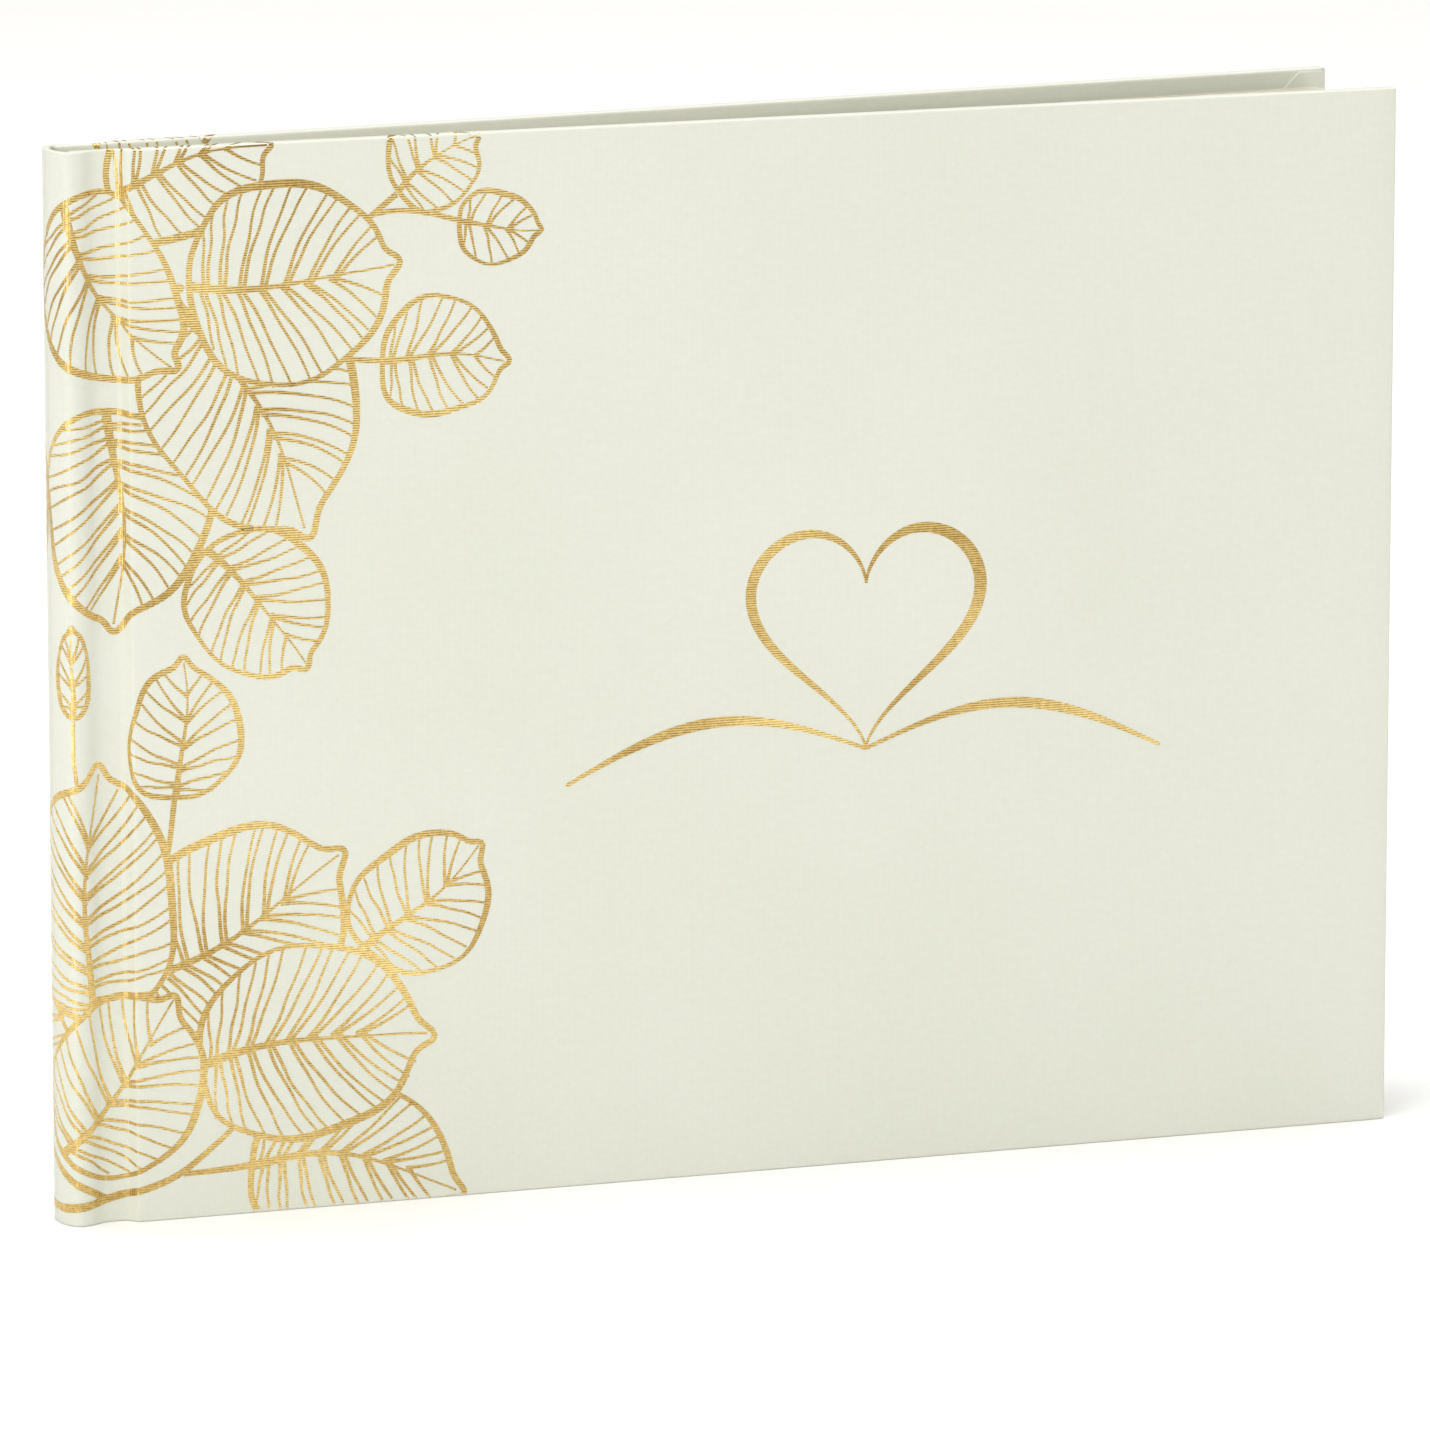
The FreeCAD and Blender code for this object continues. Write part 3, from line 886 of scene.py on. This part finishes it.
def run_nodes(name, tree, values, material):
    """One plain mesh from a node tree whose named inputs are set before it is first worked out."""
    seed_mesh = new_mesh(name + "_seed", [(0, 0, 0)], [])
    maker = seed_mesh.modifiers.new("make", "NODES")
    maker.node_group = tree
    for key, value in values.items():
        maker[key] = value
    ready = seed_mesh.evaluated_get(bpy.context.evaluated_depsgraph_get())
    mesh = bpy.data.meshes.new_from_object(ready)
    piece = bpy.data.objects.new(name, mesh)
    bpy.context.scene.collection.objects.link(piece)
    bpy.data.objects.remove(seed_mesh)
    mesh.materials.clear()
    mesh.materials.append(material)
    return piece


def thread_tube(nodes, links, given, path):
    """A round tube of the given thread radius along a curve."""
    profile = nodes.new("GeometryNodeCurvePrimitiveCircle")
    profile.inputs["Resolution"].default_value = 8
    links.new(given.outputs["Thread radius"], profile.inputs["Radius"])
    tube = nodes.new("GeometryNodeCurveToMesh")
    tube.inputs["Fill Caps"].default_value = True
    links.new(path, tube.inputs["Curve"])
    links.new(profile.outputs["Curve"], tube.inputs["Profile Curve"])
    return tube.outputs["Mesh"]


def end_tree(nodes, links, made, geometry, material):
    realize = nodes.new("GeometryNodeRealizeInstances")
    finish = nodes.new("GeometryNodeSetMaterial")
    finish.inputs["Material"].default_value = material
    links.new(geometry, realize.inputs["Geometry"])
    links.new(realize.outputs["Geometry"], finish.inputs["Geometry"])
    links.new(finish.outputs["Geometry"], made.inputs["Mesh"])


def winding_tree(material):
    tree = bpy.data.node_groups.new("wound_band", "GeometryNodeTree")
    keys = {
        "turns": number_input(tree, "Turns"), "radius": number_input(tree, "Winding radius"),
        "length": number_input(tree, "Length"), "thread": number_input(tree, "Thread radius"),
        "middle": number_input(tree, "Middle", "NodeSocketVector"),
    }
    tree.interface.new_socket(name="Mesh", in_out="OUTPUT", socket_type="NodeSocketGeometry")
    nodes, links = tree.nodes, tree.links
    given, made = nodes.new("NodeGroupInput"), nodes.new("NodeGroupOutput")
    spiral = nodes.new("GeometryNodeCurveSpiral")
    spiral.inputs["Resolution"].default_value = 14
    links.new(given.outputs["Turns"], spiral.inputs["Rotations"])
    links.new(given.outputs["Winding radius"], spiral.inputs["Start Radius"])
    links.new(given.outputs["Winding radius"], spiral.inputs["End Radius"])
    links.new(given.outputs["Length"], spiral.inputs["Height"])
    tube = thread_tube(nodes, links, given, spiral.outputs["Curve"])
    core = nodes.new("GeometryNodeMeshCylinder")
    core.inputs["Vertices"].default_value = 24
    links.new(given.outputs["Winding radius"], core.inputs["Radius"])
    links.new(given.outputs["Length"], core.inputs["Depth"])
    half = nodes.new("ShaderNodeMath")
    half.operation = "MULTIPLY"
    half.inputs[1].default_value = 0.5
    links.new(given.outputs["Length"], half.inputs[0])
    rise = nodes.new("ShaderNodeCombineXYZ")
    links.new(half.outputs[0], rise.inputs["Z"])
    raise_core = nodes.new("GeometryNodeTransform")
    links.new(core.outputs["Mesh"], raise_core.inputs["Geometry"])
    links.new(rise.outputs["Vector"], raise_core.inputs["Translation"])
    both = nodes.new("GeometryNodeJoinGeometry")
    links.new(tube, both.inputs["Geometry"])
    links.new(raise_core.outputs["Geometry"], both.inputs["Geometry"])
    lay = nodes.new("GeometryNodeTransform")
    lay.inputs["Rotation"].default_value = (-math.pi / 2, 0, 0)
    links.new(both.outputs["Geometry"], lay.inputs["Geometry"])
    links.new(given.outputs["Middle"], lay.inputs["Translation"])
    end_tree(nodes, links, made, lay.outputs["Geometry"], material)
    return tree, keys


cloth = endband_cloth()
wound, wound_keys = winding_tree(cloth)
for node, height in (("headband", leaf_high[2] + band_offset), ("tailband", leaf_low[2] - band_offset)):
    band = run_nodes(node + "_windings", wound, {
        wound_keys["turns"]: float(windings), wound_keys["radius"]: band_core,
        wound_keys["length"]: 2 * band_half, wound_keys["thread"]: winding_thread,
        wound_keys["middle"]: (shoulder + 1.8 * mm, -band_half, height),
    }, cloth)
    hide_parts(node)
    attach(band, "spine")

# ---- Sewing ---------------------------------------------------------------------------------------------
# Link stitches in linen thread: at each station the thread leaves every fold and passes to its neighbour.
stations = 5
station_spacing = (leaf_high[2] - leaf_low[2]) / (stations + 1)
stitch_length = 6 * mm
thread_radius = 0.19 * mm
stitch_bow = 0.19 * mm


def linen_thread():
    material, nodes, links, shader = new_material("linen_thread")
    ply = nodes.new("ShaderNodeTexWave")
    ply.bands_direction = "DIAGONAL"
    ply.inputs["Scale"].default_value = 900.0
    ply.inputs["Distortion"].default_value = 1.0
    links.new(nodes.new("ShaderNodeTexCoord").outputs["Object"], ply.inputs["Vector"])
    twist = ply.outputs["Fac"]
    tone = tones(nodes, links, twist, (0.62, 0.57, 0.44), (0.80, 0.76, 0.64))
    coat(links, shader, tone, relief(nodes, links, twist, 0.03 * mm), 0.8)
    return material


def stitch_tree(material):
    tree = bpy.data.node_groups.new("link_stitches", "GeometryNodeTree")
    keys = {
        "stations": number_input(tree, "Stations", "NodeSocketInt"),
        "sections": number_input(tree, "Sections", "NodeSocketInt"),
        "first": number_input(tree, "First", "NodeSocketVector"),
        "rise": number_input(tree, "Station step", "NodeSocketVector"),
        "along": number_input(tree, "Section step", "NodeSocketVector"),
        "low": number_input(tree, "Stitch start", "NodeSocketVector"),
        "mid": number_input(tree, "Stitch middle", "NodeSocketVector"),
        "high": number_input(tree, "Stitch end", "NodeSocketVector"),
        "thread": number_input(tree, "Thread radius"),
    }
    tree.interface.new_socket(name="Mesh", in_out="OUTPUT", socket_type="NodeSocketGeometry")
    nodes, links = tree.nodes, tree.links
    given, made = nodes.new("NodeGroupInput"), nodes.new("NodeGroupOutput")
    column = nodes.new("GeometryNodeMeshLine")
    links.new(given.outputs["Stations"], column.inputs["Count"])
    links.new(given.outputs["First"], column.inputs["Start Location"])
    links.new(given.outputs["Station step"], column.inputs["Offset"])
    row = nodes.new("GeometryNodeMeshLine")
    links.new(given.outputs["Sections"], row.inputs["Count"])
    links.new(given.outputs["Section step"], row.inputs["Offset"])
    stitch = nodes.new("GeometryNodeCurveQuadraticBezier")
    stitch.inputs["Resolution"].default_value = 12
    links.new(given.outputs["Stitch start"], stitch.inputs["Start"])
    links.new(given.outputs["Stitch middle"], stitch.inputs["Middle"])
    links.new(given.outputs["Stitch end"], stitch.inputs["End"])
    tube = thread_tube(nodes, links, given, stitch.outputs["Curve"])
    on_row = nodes.new("GeometryNodeInstanceOnPoints")
    links.new(row.outputs["Mesh"], on_row.inputs["Points"])
    links.new(tube, on_row.inputs["Instance"])
    on_column = nodes.new("GeometryNodeInstanceOnPoints")
    links.new(column.outputs["Mesh"], on_column.inputs["Points"])
    links.new(on_row.outputs["Instances"], on_column.inputs["Instance"])
    end_tree(nodes, links, made, on_column.outputs["Instances"], material)
    return tree, keys


linen = linen_thread()
stitches, stitch_keys = stitch_tree(linen)
sewing = run_nodes("sewing_stitches", stitches, {
    stitch_keys["stations"]: stations, stitch_keys["sections"]: sections,
    stitch_keys["first"]: (
        shoulder + 0.79 * mm, -(sections - 1) / 2 * section_pitch, leaf_low[2] + station_spacing,
    ),
    stitch_keys["rise"]: (0.0, 0.0, station_spacing), stitch_keys["along"]: (0.0, section_pitch, 0.0),
    stitch_keys["low"]: (stitch_bow, 0.0, -stitch_length / 2),
    stitch_keys["mid"]: (-stitch_bow, 0.0, 0.0),
    stitch_keys["high"]: (stitch_bow, section_pitch / 2, stitch_length / 2),
    stitch_keys["thread"]: thread_radius,
}, linen)
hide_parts("sewing_thread")
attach(sewing, "spine")

# ---- Boards, spine strip, gauze and lining --------------------------------------------------------------
# Pressed grey boards under the paper, and at the back of the block an open-weave gauze and a kraft lining.
gauze_pitch = 1.1 * mm


def pressed_fibre(name, dark, light, scale, roughness):
    material, nodes, links, shader = new_material(name)
    where = nodes.new("ShaderNodeTexCoord").outputs["Object"]
    fibre = noise_texture(nodes, links, where, scale, 8.0)
    tone = tones(nodes, links, fibre, dark, light, 0.35, 0.68)
    coat(links, shader, tone, relief(nodes, links, fibre, 0.05 * mm, 0.4), roughness)
    return material


def gauze_cloth():
    material, nodes, links, shader = new_material("gauze")
    where = nodes.new("ShaderNodeTexCoord").outputs["Object"]
    crossed = nodes.new("ShaderNodeMath")
    crossed.operation = "MAXIMUM"
    for slot, axis in enumerate("YZ"):
        wave = nodes.new("ShaderNodeTexWave")
        wave.bands_direction = axis
        wave.inputs["Scale"].default_value = wave_per_pitch / gauze_pitch
        wave.inputs["Distortion"].default_value = 0.6
        links.new(where, wave.inputs["Vector"])
        links.new(wave.outputs["Fac"], crossed.inputs[slot])
    threads = crossed.outputs[0]
    tone = tones(nodes, links, threads, (0.52, 0.49, 0.38), (0.84, 0.82, 0.74), 0.45, 0.75)
    coat(links, shader, tone, relief(nodes, links, threads, 0.1 * mm), 0.85)
    return material


grey = pressed_fibre("greyboard", (0.28, 0.27, 0.24), (0.40, 0.385, 0.345), 500.0, 0.9)
kraft = pressed_fibre("kraft_lining", (0.42, 0.30, 0.18), (0.52, 0.39, 0.25), 700.0, 0.8)
gauze = gauze_cloth()
for node, finish in (
    ("front_board", grey), ("rear_board", grey), ("spine_board", grey),
    ("spine_lining", kraft), ("mull", gauze),
):
    for holder in frame["nodes"][node].material_slots:
        holder.material = finish
